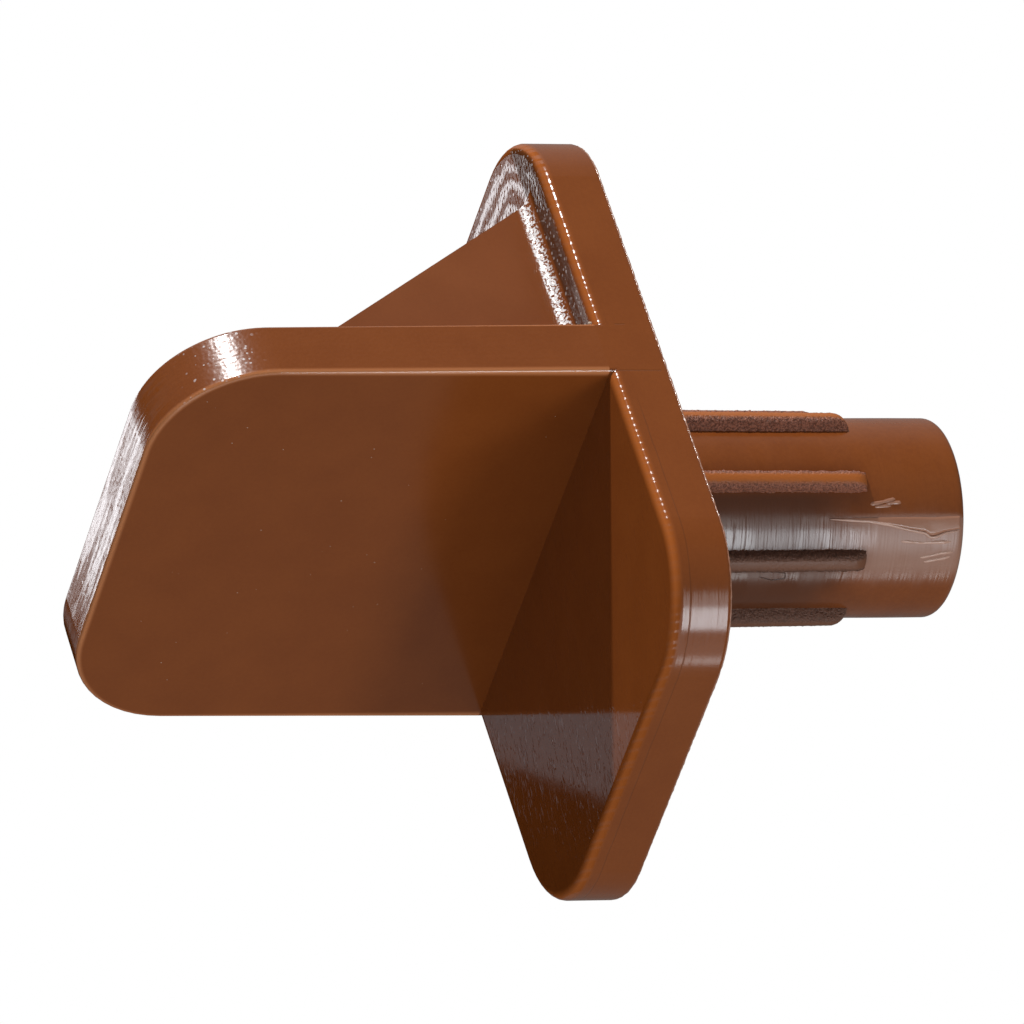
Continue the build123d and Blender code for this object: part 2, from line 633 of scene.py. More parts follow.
@dataclass(frozen=True)
class MouldedBodyFinish(Plastic):
    """Finish of the plate, ledge and cheeks: tool marks, rubs, grains with painted glints, painted shade
    beside the cheeks, and painted light in the edges.
    """

    name: str = "brown_plastic_body"
    roughness: float = 0.15
    pebble_height: float = 0.0002
    tones: Range = (0.2, 0.8)

    # Sizes of the moulding, as in the part's source
    plate_front: float = 1.48
    plate_half: Range = (6.0, 8.15)
    plate_offset: float = 0.05
    plate_corner: float = 2.62
    ledge_top: float = 0.88
    ledge_under: float = -0.62
    ledge_tip: float = 12.26
    ledge_half: float = 5.93
    ledge_corner: float = 2.7
    cheek_outer: float = 4.86

    # Where the parts begin: distances from those sizes, and how much a face is turned to an axis
    border: float = 0.02
    under_border: Range = (0.1, 0.04)
    front_facing: Range = (0.8, 0.95)
    rim_facing: Range = (0.2, 0.8)
    tip_facing: Range = (0.85, 0.97)
    cheek_facing: Range = (0.9, 0.99)
    root_facing: Range = (0.2, 0.86)
    root_level: Range = (0.05, 0.3)
    root_soft: float = 0.1
    foot_border: Range = (3.0, 1.0)
    strip_end: float = 5.75
    strip_soft: float = 0.1

    # Painted light in the edges: a paler orange colour where light would show through the plastic
    painted_glow: Colour = (0.52, 0.15, 0.036)
    painted_glow_share: float = 0.65
    painted_ledge_glow: Colour = (0.6, 0.23, 0.09)
    painted_ledge_glow_share: float = 0.9
    plate_edge_width: float = 0.27
    top_edge_width: float = 0.16
    under_edge_width: float = 0.08
    joint_margin: Range = (0.03, 0.02)
    joint_soft: float = 0.03

    # Tool marks, rubs and grit
    plate_rim_marks: CutterMarks = CutterMarks(0.055, 3.0, 0.003)
    ledge_rim_marks: CutterMarks = CutterMarks(0.07, 2.5, 0.0021)
    tip_marks: CutterMarks = CutterMarks(0.035, 0.5, 0.004, dulling=0.8)
    foot_marks: CutterMarks = CutterMarks(0.1, 0.6, 0.0016, dulling=0.3)
    rub_turn: float = 1.9
    rub_width: float = 0.1
    rub_length: float = 0.4
    rub_height: float = 0.0012
    arc_pitch: float = 0.5
    arc_drift: float = 8.0
    arc_drift_scale: float = 1.3
    arc_wave: Range = (-0.9, 0.8)
    calm_from: Range = (0.0, 1.0)
    calm_dulling: float = 0.6
    grit_scale: float = 11.0
    grit_detail: float = 0.5
    root_grit: float = 0.03
    foot_grit: float = 0.0035
    rim_grit: float = 0.005

    # Seams of the mould
    seam_x: float = 1.05
    seam_widths: Range = (0.025, 0.03)
    seam_wander: float = 0.01
    seam_depth: float = 0.006
    seam_shares: Range = (0.6, 0.7)
    seam_high: Range = (1.5, 2.5)
    seam_beside: tuple[float, float, float] = (0.21, 1.4, 0.02)
    seam_short: tuple[float, float, float] = (0.72, 0.98, 0.03)
    seam_stain: Colour = (0.05, 0.02, 0.008)
    seam_stain_share: float = 0.45

    # Pale specks, painted glints on the grains, and painted shade in the dark strip beside the cheeks
    specks: Spots = Spots(0.8, 0.022, 0.16)
    speck: Colour = (0.55, 0.33, 0.2)
    speck_share: float = 0.5
    painted_shade: Colour = (0.07, 0.025, 0.01)
    painted_shade_share: float = 0.75
    # Painted glints: near-white colour of the grains and dots
    painted_glint: Colour = (0.95, 0.93, 0.93)
    painted_glint_most: float = 0.85
    root_dots: Spots = Spots(0.12, 0.036, 0.5)
    root_middle: tuple[float, float, float] = (0.25, 0.75, 0.25)
    root_middle_share: float = 0.12
    patch_scale: float = 15.0
    patches: Range = (0.53, 0.6)
    strip_dot_share: float = 0.35
    turned_rim: tuple[float, float, float] = (0.2, 0.7, 0.1)
    turned_dot_share: float = 0.6

    # Roughness that the parts add
    rim_rough: float = 0.1
    plate_rim_rough: float = 0.03
    cheek_rough: float = 0.2
    plate_face_rough: float = -0.09

    # Where the gloss is weaker, from 0 to 1
    gloss_dots: Spots = Spots(0.1, 0.04, 0.45)
    gloss_dashes: Spots = Spots(0.08, 0.03, 0.7)
    dash_squeeze: Point = (1.0, 0.5, 1.0)
    dash_dulling: float = 0.5
    far_side: Range = (0.3, 3.5)
    far_dulling: float = 0.85
    strip_dulling: float = 0.7
    edge_dulling: Range = (0.1, 0.35)
    most_dull: float = 0.96

    # Beads of gloss along the plate's edge
    bead_spacing: float = 0.21
    bead_slant: float = 0.6
    bead_disorder: float = 0.7
    bead_least: float = 0.15
    bead_spread: float = 0.16
    bead_levels: Range = (-7.0, -0.8)
    bead_growth: Range = (1.35, 0.75)
    bead_rim: Range = (0.7, 1.1)

    def zones(self, sheet: PlasticSheet) -> dict[Zone, Socket]:
        """Parts of the moulding that look different.

        Args:
            sheet: The sheet to draw on.

        Returns:
            A mask for each part.
        """
        front, under, border = self.plate_front, self.ledge_under, self.border
        on_plate = sheet.fall(sheet.x, front, front + border)
        on_ledge = sheet.opposite(on_plate)
        steep = [sheet.maths("ABSOLUTE", part) for part in sheet.facing]
        above = sheet.fade(sheet.z, under - self.under_border[0], under - self.under_border[1])
        below = sheet.opposite(above)
        ahead = sheet.fade(sheet.facing[0], *self.front_facing)
        foot = sheet.fall(sheet.z, under - self.foot_border[0], under - self.foot_border[1])
        away = sheet.maths("ABSOLUTE", sheet.y)
        beside = sheet.between(away, self.cheek_outer, self.strip_end, self.strip_soft)
        upright = sheet.fall(steep[2], *self.rim_facing)
        return {
            Zone.PLATE: on_plate,
            Zone.PLATE_RIM: sheet.product(on_plate, sheet.fall(steep[0], *self.rim_facing)),
            Zone.PLATE_FACE: sheet.product(on_plate, ahead),
            Zone.FOOT: sheet.product(on_plate, ahead, foot),
            Zone.BESIDE: sheet.product(on_plate, ahead, below, beside),
            Zone.LEDGE: on_ledge,
            Zone.LEDGE_RIM: sheet.product(
                on_ledge, above, upright, sheet.fall(sheet.facing[0], *self.tip_facing)
            ),
            Zone.TIP_FACE: sheet.product(on_ledge, above, ahead),
            Zone.FILLET: sheet.product(
                sheet.between(sheet.facing[0], *self.root_facing, self.root_soft),
                sheet.fall(steep[2], *self.root_level),
                below,
                sheet.fade(sheet.x, front - border, front + border),
            ),
            Zone.CHEEK: sheet.product(on_ledge, below, sheet.fade(steep[1], *self.cheek_facing)),
        }

    def plate_depth(self, sheet: PlasticSheet) -> Socket:
        """How far a point lies inside the plate's outline."""
        return sheet.effect(
            sheet.effects.outline_depth,
            First=sheet.y,
            Second=sheet.minus(sheet.z, self.plate_offset),
            Half_First=self.plate_half[0],
            Half_Second=self.plate_half[1],
            Radius=self.plate_corner,
        ).outputs[0]

    def ledge_depth(self, sheet: PlasticSheet) -> Socket:
        """How far a point lies inside the ledge's outline."""
        return sheet.effect(
            sheet.effects.outline_depth,
            First=sheet.x,
            Second=sheet.y,
            Half_First=self.ledge_tip,
            Half_Second=self.ledge_half,
            Radius=self.ledge_corner,
        ).outputs[0]

    def edges(self, sheet: PlasticSheet, zones: dict[Zone, Socket], outline: Socket) -> tuple[Socket, Socket]:
        """Rounded edges, where the light that shows through the plastic is painted.

        Args:
            sheet: The sheet to draw on.
            zones: Masks of the parts.
            outline: Depth inside the plate's outline.

        Returns:
            Masks of the plate's front edge, and of the ledge's upper and lower edge.
        """
        plan = self.ledge_depth(sheet)
        front_edge, top_edge, under_edge = (
            sheet.effect(sheet.effects.edge, First=depth, Second=inside, Width=width).outputs[0]
            for depth, inside, width in (
                (sheet.minus(self.plate_front, sheet.x), outline, self.plate_edge_width),
                (sheet.minus(self.ledge_top, sheet.z), plan, self.top_edge_width),
                (sheet.minus(sheet.z, self.ledge_under), plan, self.under_edge_width),
            )
        )
        low, high = self.ledge_under - self.joint_margin[0], self.ledge_top + self.joint_margin[1]
        joined = sheet.between(sheet.z, low, high, self.joint_soft)
        plate_edge = sheet.product(zones[Zone.PLATE], front_edge, sheet.opposite(joined))
        return plate_edge, sheet.product(zones[Zone.LEDGE], sheet.maths("MAXIMUM", top_edge, under_edge))

    def relief(
        self, sheet: PlasticSheet, zones: dict[Zone, Socket], outline: Socket, seams: Socket
    ) -> tuple[Socket, Socket]:
        """Tool marks, grit and rubs.

        Args:
            sheet: The sheet to draw on.
            zones: Masks of the parts.
            outline: Depth inside the plate's outline.
            seams: Mask of the mould's seams.

        Returns:
            Height in millimetres, and mask of the places that are dull.
        """
        ledge_place = sheet.merge(sheet.z, sheet.y, sheet.x)
        foot_place = sheet.merge(outline, sheet.y, sheet.z)
        heights, dull = [], []
        for place, zone, marks in (
            (sheet.place, Zone.PLATE_RIM, self.plate_rim_marks),
            (ledge_place, Zone.LEDGE_RIM, self.ledge_rim_marks),
            (ledge_place, Zone.TIP_FACE, self.tip_marks),
            (foot_place, Zone.FOOT, self.foot_marks),
        ):
            height, worn = marks.draw(sheet, place, zones[zone])
            heights.append(height)
            if marks.dulling:
                dull.append(sheet.product(zones[zone], worn, marks.dulling))
        rub = sheet.effect(
            sheet.effects.scratches,
            Place=sheet.merge(sheet.y, sheet.z, sheet.x),
            Turn=self.rub_turn,
            Width=self.rub_width,
            Length=self.rub_length,
            Height=sheet.product(zones[Zone.PLATE_FACE], sheet.opposite(zones[Zone.FOOT]), self.rub_height),
        )
        drift = sheet.product(sheet.noise(sheet.place, self.arc_drift_scale), self.arc_drift)
        wave = sheet.maths("SINE", sheet.total(sheet.product(outline, 2 * math.pi / self.arc_pitch), drift))
        dull.append(sheet.product(zones[Zone.FOOT], sheet.fade(wave, *self.arc_wave)))
        calm = sheet.product(zones[Zone.PLATE_FACE], sheet.fade(sheet.z, *self.calm_from))
        dull.append(sheet.product(calm, sheet.opposite(rub.outputs["Mask"]), self.calm_dulling))
        grit = sheet.minus(sheet.noise(sheet.place, self.grit_scale, self.grit_detail), MIDDLE)
        grit_size = sheet.total(
            sheet.product(zones[Zone.FILLET], self.root_grit),
            sheet.product(zones[Zone.FOOT], self.foot_grit),
            sheet.product(zones[Zone.LEDGE_RIM], self.rim_grit),
        )
        heights += [
            rub.outputs["Height"], sheet.product(grit, grit_size), sheet.product(seams, -self.seam_depth)
        ]
        return sheet.total(*heights), sheet.total(*dull)

    def seams(self, sheet: PlasticSheet, zones: dict[Zone, Socket]) -> Socket:
        """Fine lines where the parts of the mould met: on the plate's top rim and beside the ledge.

        Args:
            sheet: The sheet to draw on.
            zones: Masks of the parts.

        Returns:
            Mask of the lines.
        """
        fine, wide = self.seam_widths
        rim, top, under = (
            sheet.effect(sheet.effects.seam, Place=sheet.place, **values).outputs[0]
            for values in (
                {"Value": sheet.x, "Level": self.seam_x, "Width": fine, "Wander": self.seam_wander},
                {"Value": sheet.z, "Level": self.ledge_top, "Width": wide, "Wander": 0.0},
                {"Value": sheet.z, "Level": self.ledge_under, "Width": wide, "Wander": self.seam_wander},
            )
        )
        high = sheet.fade(sheet.z, *self.seam_high)
        beside = sheet.product(zones[Zone.PLATE_RIM], sheet.between(sheet.x, *self.seam_beside))
        short = sheet.between(sheet.x, *self.seam_short)
        rim_share, side_share = self.seam_shares
        return sheet.total(
            sheet.product(rim, zones[Zone.PLATE_RIM], high, rim_share),
            sheet.product(top, beside, side_share),
            sheet.product(under, beside, short, side_share),
        )

    def bead_string(self, sheet: PlasticSheet) -> Socket:
        """Glossy beads one after another along the plate's front edge, smaller towards its middle.

        Args:
            sheet: The sheet to draw on.

        Returns:
            Mask of the beads.
        """
        along = sheet.total(sheet.z, sheet.product(sheet.y, self.bead_slant))
        wires = {"W": along, "Scale": 1 / self.bead_spacing, "Randomness": self.bead_disorder}
        cells = sheet.put("ShaderNodeTexVoronoi", wires, voronoi_dimensions="1D")
        size = sheet.product(sheet.split(cells.outputs["Color"])[0], self.bead_spread)
        growth = sheet.fade(sheet.z, *self.bead_levels, *self.bead_growth)
        reach = sheet.product(sheet.total(size, self.bead_least), growth)
        return sheet.fall(sheet.ratio(cells.outputs["Distance"], reach), *self.bead_rim)

    def grains(self, sheet: PlasticSheet, zones: dict[Zone, Socket]) -> Socket:
        """Painted glints: pale grains in the root of the cheeks, in the strip beside them and round the
        ledge's corners.

        Args:
            sheet: The sheet to draw on.
            zones: Masks of the parts.

        Returns:
            Share of the painted glint colour.
        """
        middle = sheet.product(sheet.between(sheet.facing[0], *self.root_middle), self.root_middle_share)
        patches = sheet.total(sheet.noise(sheet.place, self.patch_scale), middle)
        dots = self.root_dots.mask(sheet, sheet.place)
        turned = sheet.product(zones[Zone.LEDGE_RIM], sheet.between(sheet.facing[0], *self.turned_rim))
        share = sheet.total(
            sheet.product(zones[Zone.FILLET], sheet.fade(patches, *self.patches)),
            sheet.product(zones[Zone.BESIDE], dots, self.strip_dot_share),
            sheet.product(turned, dots, self.turned_dot_share),
        )
        return sheet.maths("MINIMUM", share, self.painted_glint_most)

    def gloss(
        self, sheet: PlasticSheet, zones: dict[Zone, Socket], plate_edge: Socket, dull: Socket
    ) -> Socket:
        """Strength of the gloss, which is weaker in streaks and between the beads of the plate's edge.

        Args:
            sheet: The sheet to draw on.
            zones: Masks of the parts.
            plate_edge: Mask of the plate's front edge.
            dull: Mask of the places that are dull.

        Returns:
            The strength.
        """
        dots = self.gloss_dots.mask(sheet, sheet.place)
        dashes = self.gloss_dashes.mask(sheet, sheet.vector("MULTIPLY", sheet.place, self.dash_squeeze))
        far = sheet.fade(sheet.y, *self.far_side, 0.0, self.far_dulling)
        edge = sheet.fade(plate_edge, *self.edge_dulling)
        dim = sheet.total(
            sheet.product(edge, sheet.opposite(self.bead_string(sheet))),
            sheet.product(dull, sheet.opposite(dots)),
            sheet.product(zones[Zone.TIP_FACE], sheet.total(far, sheet.product(dashes, self.dash_dulling))),
            sheet.product(zones[Zone.BESIDE], self.strip_dulling),
        )
        return sheet.product(sheet.opposite(sheet.maths("MINIMUM", dim, self.most_dull)), FULL_GLOSS)

    def surface(self, sheet: PlasticSheet) -> Look:
        """Pattern of the finish.

        Args:
            sheet: The sheet to draw on.

        Returns:
            The look.
        """
        pebble_height, tone = self.pebble(sheet)
        zones = self.zones(sheet)
        outline = self.plate_depth(sheet)
        plate_edge, ledge_edge = self.edges(sheet, zones, outline)
        seams = self.seams(sheet, zones)
        colour = sheet.blend(sheet.fade(tone, *self.tones), self.deep, self.base)
        for share, added in (
            # Painted light in the plate's and the ledge's edges
            (sheet.product(plate_edge, self.painted_glow_share), self.painted_glow),
            (sheet.product(ledge_edge, self.painted_ledge_glow_share), self.painted_ledge_glow),
            # Painted shade in the strip beside the cheeks
            (sheet.product(zones[Zone.BESIDE], self.painted_shade_share), self.painted_shade),
            # Painted glints in the grains
            (self.grains(sheet, zones), self.painted_glint),
            (sheet.product(seams, self.seam_stain_share), self.seam_stain),
            (sheet.product(self.specks.mask(sheet, sheet.place), self.speck_share), self.speck),
        ):
            colour = sheet.blend(share, colour, added)
        rough = sheet.total(
            self.uneven(sheet, tone),
            sheet.product(sheet.maths("MAXIMUM", zones[Zone.LEDGE_RIM], zones[Zone.FILLET]), self.rim_rough),
            sheet.product(zones[Zone.PLATE_RIM], self.plate_rim_rough),
            sheet.product(zones[Zone.CHEEK], self.cheek_rough),
            sheet.product(zones[Zone.PLATE_FACE], self.plate_face_rough),
        )
        height, dull = self.relief(sheet, zones, outline, seams)
        gloss = self.gloss(sheet, zones, plate_edge, dull)
        return Look(colour, rough, sheet.total(pebble_height, height), gloss)


@dataclass(frozen=True)
class TurnedPegFinish(Plastic):
    """Finish of the peg: fine rings that the turned mould left, a rubbed band, and painted shade between the
    ribs.
    """

    name: str = "brown_plastic_peg"
    roughness: float = 0.17
    pebble_size: float = 0.12
    pebble_height: float = 0.0006
    tones: Range = (0.35, 0.65)
    rib_length: float = 6.1

    # Painted shade: a darker colour between the ribs, on the side that is turned away from the light
    painted_shade: Colour = (0.085, 0.028, 0.012)
    painted_shade_share: float = 0.85
    painted_shade_levels: Range = (0.95, 1.3)
    painted_shade_reach: Range = (-0.6, 1.6)
    painted_shade_waver: float = 1.6
    painted_shade_waver_scale: float = 0.8

    # Rings of the turned mould
    rings: CutterMarks = CutterMarks(0.05, 0.9, 0.003, fineness=0.0)
    coarse_rings: CutterMarks = CutterMarks(0.15, 0.5, 0.002)
    ring_rough: float = 0.08

    # Rubbed band on the nose
    rub: Colour = (0.42, 0.26, 0.2)
    rub_share: float = 0.55
    rub_rough: float = 0.2
    rub_along: Range = (-6.6, -5.2)
    rub_levels: tuple[float, float, float] = (1.6, 2.33, 0.08)
    rub_side: Range = (-0.2, 0.4)

    specks: Spots = Spots(0.4, 0.016, 0.2)
    speck: Colour = (0.5, 0.26, 0.13)
    speck_share: float = 0.4

    def surface(self, sheet: PlasticSheet) -> Look:
        """Pattern of the finish.

        Args:
            sheet: The sheet to draw on.

        Returns:
            The look.
        """
        pebble_height, tone = self.pebble(sheet)
        wobble = sheet.minus(sheet.noise(sheet.place, self.painted_shade_waver_scale), MIDDLE)
        along = sheet.total(sheet.x, sheet.product(wobble, self.painted_shade_waver))
        behind = sheet.fade(along, *(reach - self.rib_length for reach in self.painted_shade_reach))
        above = sheet.fade(sheet.z, *self.painted_shade_levels)
        rubbed = sheet.product(
            sheet.fall(sheet.x, *self.rub_along),
            sheet.between(sheet.z, *self.rub_levels),
            sheet.fall(sheet.y, *self.rub_side),
            self.rub_share,
        )
        colour = sheet.blend(sheet.fade(tone, *self.tones), self.deep, self.base)
        for share, added in (
            # Painted shade between the ribs
            (sheet.product(behind, above, self.painted_shade_share), self.painted_shade),
            (rubbed, self.rub),
            (sheet.product(self.specks.mask(sheet, sheet.place), self.speck_share), self.speck),
        ):
            colour = sheet.blend(share, colour, added)
        ring_height, _ = self.rings.draw(sheet, sheet.place)
        coarse_height, worn = self.coarse_rings.draw(sheet, sheet.place)
        rough = sheet.total(
            self.roughness, sheet.product(worn, self.ring_rough), sheet.product(rubbed, self.rub_rough)
        )
        return Look(colour, rough, sheet.total(pebble_height, ring_height, coarse_height))


@dataclass(frozen=True)
class ErodedRibFinish(Plastic):
    """Finish of the crush ribs: smooth crests and granular flanks from a spark-eroded mould, with painted
    light on the crests and painted shade on the peg's +Z side.
    """

    name: str = "brown_plastic_rib"
    # Crest colour: a paler, more orange copy of the body's plastic, as painted light
    base: Colour = (0.4, 0.11, 0.018)
    deep: Colour = (0.14, 0.045, 0.022)
    roughness: float = 0.42
    flank: Colour = (0.38, 0.14, 0.08)
    flank_rough: float = 0.05
    grain_scale: float = 21.0
    grain_rough: float = 0.6
    grain_tones: Range = (0.35, 0.65)
    grain_heights: Range = (0.012, 0.055)
    # Painted shade on the ribs on the peg's +Z side, which the key lamp doesn't reach
    painted_shade: Colour = (0.1, 0.048, 0.03)
    painted_shade_levels: Range = (1.5, 2.0)
    painted_shade_share: float = 0.8

    def surface(self, sheet: PlasticSheet) -> Look:
        """Pattern of the finish.

        Args:
            sheet: The sheet to draw on.

        Returns:
            The look.
        """
        flank = sheet.put("ShaderNodeAttribute", attribute_name="flank").outputs["Fac"]
        grains = sheet.noise(sheet.place, self.grain_scale, rough=self.grain_rough)
        grainy = sheet.blend(sheet.fade(grains, *self.grain_tones), self.deep, self.flank)
        painted_shading = sheet.fade(sheet.z, *self.painted_shade_levels, 0.0, self.painted_shade_share)
        colour = sheet.blend(painted_shading, sheet.blend(flank, self.base, grainy), self.painted_shade)
        rough = sheet.total(self.roughness, sheet.product(flank, self.flank_rough))
        height = sheet.product(sheet.minus(grains, MIDDLE), sheet.fade(flank, 0.0, 1.0, *self.grain_heights))
        return Look(colour, rough, height)


@dataclass(frozen=True)
class FlashFinish(Plastic):
    """Thin flash and burrs, which are paler than the rest."""

    name: str = "brown_plastic_flash"
    base: Colour = (0.4, 0.2, 0.13)
    deep: Colour = (0.32, 0.14, 0.08)
    roughness: float = 0.22


@dataclass(frozen=True)
class ScuffHighlightFinish(Plastic):
    """Torn and creased plastic, painted paler than the rest: a painted highlight on the torn edge and the
    creases.
    """

    name: str = "scuff_painted_highlight"
    base: Colour = (0.62, 0.42, 0.34)
    deep: Colour = (0.42, 0.22, 0.15)
    roughness: float = 0.25


@dataclass(frozen=True)
class DentShadeFinish(Plastic):
    """Rim of a small dent, painted darker than the rest: the dent's painted shade."""

    name: str = "dent_painted_shade"
    base: Colour = (0.07, 0.026, 0.014)
    deep: Colour = (0.05, 0.02, 0.01)
    roughness: float = 0.3


@dataclass(frozen=True)
class DustFinish(Plastic):
    """Pale specks of dust that lie on the plastic."""

    name: str = "pale_dust"
    base: Colour = (0.62, 0.5, 0.4)
    deep: Colour = (0.42, 0.3, 0.22)
    roughness: float = 0.6


# --------------------------------------------------------------------------- geometry trees


def run_tree(base: Object, tree: Tree, values: dict[str, object], name: str) -> Object:
    """Runs a geometry tree on an object and keeps the result as a plain mesh.

    Args:
        base: The object that the tree starts from. It is removed.
        tree: The tree.
        values: The tree's inputs by their names.
        name: Name of the finished piece.

    Returns:
        The finished object, with no modifiers.
    """
    modifier = base.modifiers.new("shape", "NODES")
    modifier.node_group = tree
    identifiers = {item.name: item.identifier for item in tree.interface.items_tree if item.in_out == "INPUT"}
    for key, value in values.items():
        modifier[identifiers[key]] = value
    bpy.context.view_layer.update()
    graph = bpy.context.evaluated_depsgraph_get()
    mesh = bpy.data.meshes.new_from_object(base.evaluated_get(graph), depsgraph=graph)
    base.modifiers.remove(modifier)
    bpy.data.objects.remove(base)
    return add_object(name, mesh)


def add_object(name: str, data: bpy.types.ID) -> Object:
    """Links a new object with that mesh, lamp or camera into the scene."""
    made = bpy.data.objects.new(name, data)
    bpy.context.scene.collection.objects.link(made)
    return made


class Trees:
    """Geometry trees for what repeats or follows a path or a surface. Their sizes are in metres."""

    def __init__(self) -> None:
        """Builds every tree once."""
        self.ribs = self._ribs()
        self.ridge = self._ridge()
        self.specks = self._specks()

    @staticmethod
    def _open(name: str, numbers: list[GroupSocket]) -> GroupSheet:
        """Starts a tree that takes and gives a shape, with those numbers and a material as inputs."""
        return GroupSheet(name, Family.GEOMETRY, [GEOMETRY, *numbers, MATERIAL], GEOMETRY)

    @staticmethod
    def _finish(sheet: GroupSheet, geometry: Socket) -> None:
        """Ends a tree: real geometry, smooth shading, and the material.

        Args:
            sheet: The sheet of the tree.
            geometry: What the tree made.
        """
        real = sheet.put("GeometryNodeRealizeInstances", {0: geometry}).outputs[0]
        smooth = sheet.put("GeometryNodeSetShadeSmooth", {"Geometry": real}).outputs[0]
        wires = {"Geometry": smooth, "Material": sheet.source["Material"]}
        sheet.give("Geometry", sheet.put("GeometryNodeSetMaterial", wires).outputs[0])

    @staticmethod
    def _seeded_noise(sheet: GroupSheet, scale: object) -> Socket:
        """Noise around 0 that is read where the shape lies, moved along X by the seed.

        Args:
            sheet: The sheet of the tree.
            scale: Features per metre.

        Returns:
            The noise.
        """
        rough = 0.6
        spot = sheet.put("GeometryNodeInputPosition").outputs[0]
        spot = sheet.vector("ADD", spot, sheet.merge(sheet.source["Seed"]))
        return sheet.minus(sheet.noise(spot, scale, rough=rough), MIDDLE)

    def _rib_bar(self, sheet: GroupSheet, height: Socket) -> Socket:
        """Straight bar with a rounded trapezoid as its section, along the X axis.

        Args:
            sheet: The sheet of the tree.
            height: Height of the section.

        Returns:
            The bar.
        """
        corner_steps = 8
        source = sheet.source
        end = sheet.product(source["Length"], -1.0)
        wires = {"Start": sheet.merge(source["Start"]), "End": sheet.merge(end)}
        axis = sheet.put("GeometryNodeCurvePrimitiveLine", wires).outputs[0]
        wires = {"Curve": axis, "Count": source["Steps"]}
        stations = sheet.put("GeometryNodeResampleCurve", wires).outputs[0]
        section = sheet.put("GeometryNodeCurvePrimitiveQuadrilateral", mode="TRAPEZOID")
        for key, value in (
            ("Bottom Width", source["Crest Width"]),
            ("Top Width", source["Foot Width"]),
            ("Height", height),
            ("Offset", 0.0),
        ):
            sheet.feed(section.inputs[key], value)
        wires = {"Curve": section.outputs[0], "Radius": source["Rounding"]}
        rounded = sheet.put("GeometryNodeFilletCurve", wires, mode="POLY")
        sheet.feed(rounded.inputs["Count"], corner_steps)
        wires = {"Curve": rounded.outputs[0], "Count": source["Ring"]}
        ring = sheet.put("GeometryNodeResampleCurve", wires).outputs[0]
        wires = {"Curve": stations, "Profile Curve": ring, "Fill Caps": True}
        return sheet.put("GeometryNodeCurveToMesh", wires).outputs[0]

    def _one_rib(self, sheet: GroupSheet) -> Socket:
        """Bar whose crest falls towards the nose and ends in a ramp, with its flanks marked.

        Args:
            sheet: The sheet of the tree.

        Returns:
            One rib, above the X axis.
        """
        flat_share = 0.2
        source = sheet.source
        foot, core = source["Foot Radius"], source["Core Radius"]
        height = sheet.minus(source["Crest Root"], foot)
        skin = self._rib_bar(sheet, height)
        x, y, z = sheet.split(sheet.put("GeometryNodeInputPosition").outputs[0])
        share = sheet.total(sheet.ratio(z, height), MIDDLE)
        reach = sheet.total(x, source["Length"])
        left = sheet.opposite(sheet.ratio(reach, source["Ramp"], clamp=True))
        bulge = sheet.maths("SQRT", sheet.opposite(sheet.product(left, left)))
        run = sheet.ratio(reach, source["Length"], clamp=True)
        fall = sheet.minus(source["Crest Root"], source["Crest End"])
        crest = sheet.total(source["Crest End"], sheet.product(run, fall))
        ramped = sheet.total(core, sheet.product(bulge, sheet.minus(crest, core)))
        lifted = sheet.total(foot, sheet.product(share, sheet.minus(ramped, foot)))
        wires = {"Geometry": skin, "Position": sheet.merge(x, y, lifted)}
        placed = sheet.put("GeometryNodeSetPosition", wires).outputs[0]
        half = sheet.product(source["Crest Width"], flat_share)
        outward = sheet.ratio(sheet.minus(sheet.maths("ABSOLUTE", y), half), half, clamp=True)
        wires = {"Geometry": placed, "Name": "flank", "Value": outward}
        kind = {"data_type": "FLOAT", "domain": "POINT"}
        return sheet.put("GeometryNodeStoreNamedAttribute", wires, **kind).outputs[0]

    def _ribs(self) -> Tree:
        """Ribs along the X axis, one after another round it, with grained flanks.

        Returns:
            The tree.
        """
        grain_scale, crest_grain = 13000.0, 0.15
        lengths = {"Foot_Radius": 0.002, "Core_Radius": 0.0024, "Crest_Root": 0.0028, "Crest_End": 0.0027}
        lengths |= {"Foot_Width": 0.0006, "Crest_Width": 0.0002, "Rounding": 0.0001, "Ramp": 0.0004}
        lengths["Grain"] = 0.00001
        counts = {"Steps": 100, "Ring": 40, "Seed": 3}
        sheet = self._open("crush_ribs", sizes(Count=8, Start=0.0, Length=0.006, **lengths, **counts))
        source = sheet.source
        rib = self._one_rib(sheet)
        points = sheet.put("GeometryNodePoints", {"Count": source["Count"]}).outputs[0]
        index = sheet.put("GeometryNodeInputIndex").outputs[0]
        turn = sheet.product(sheet.total(index, MIDDLE), sheet.ratio(2 * math.pi, source["Count"]))
        placed = sheet.put("GeometryNodeInstanceOnPoints", {"Points": points, "Instance": rib})
        sheet.feed(placed.inputs["Rotation"], sheet.merge(turn))
        real = sheet.put("GeometryNodeRealizeInstances", {0: placed.outputs[0]}).outputs[0]
        grain = self._seeded_noise(sheet, grain_scale)
        flank = sheet.put("GeometryNodeInputNamedAttribute", {"Name": "flank"}, data_type="FLOAT").outputs[0]
        push = sheet.product(grain, source["Grain"], sheet.total(flank, crest_grain))
        offset = sheet.scaled(sheet.put("GeometryNodeInputNormal").outputs[0], push)
        wires = {"Geometry": real, "Offset": offset}
        self._finish(sheet, sheet.put("GeometryNodeSetPosition", wires).outputs[0])
        return sheet.tree

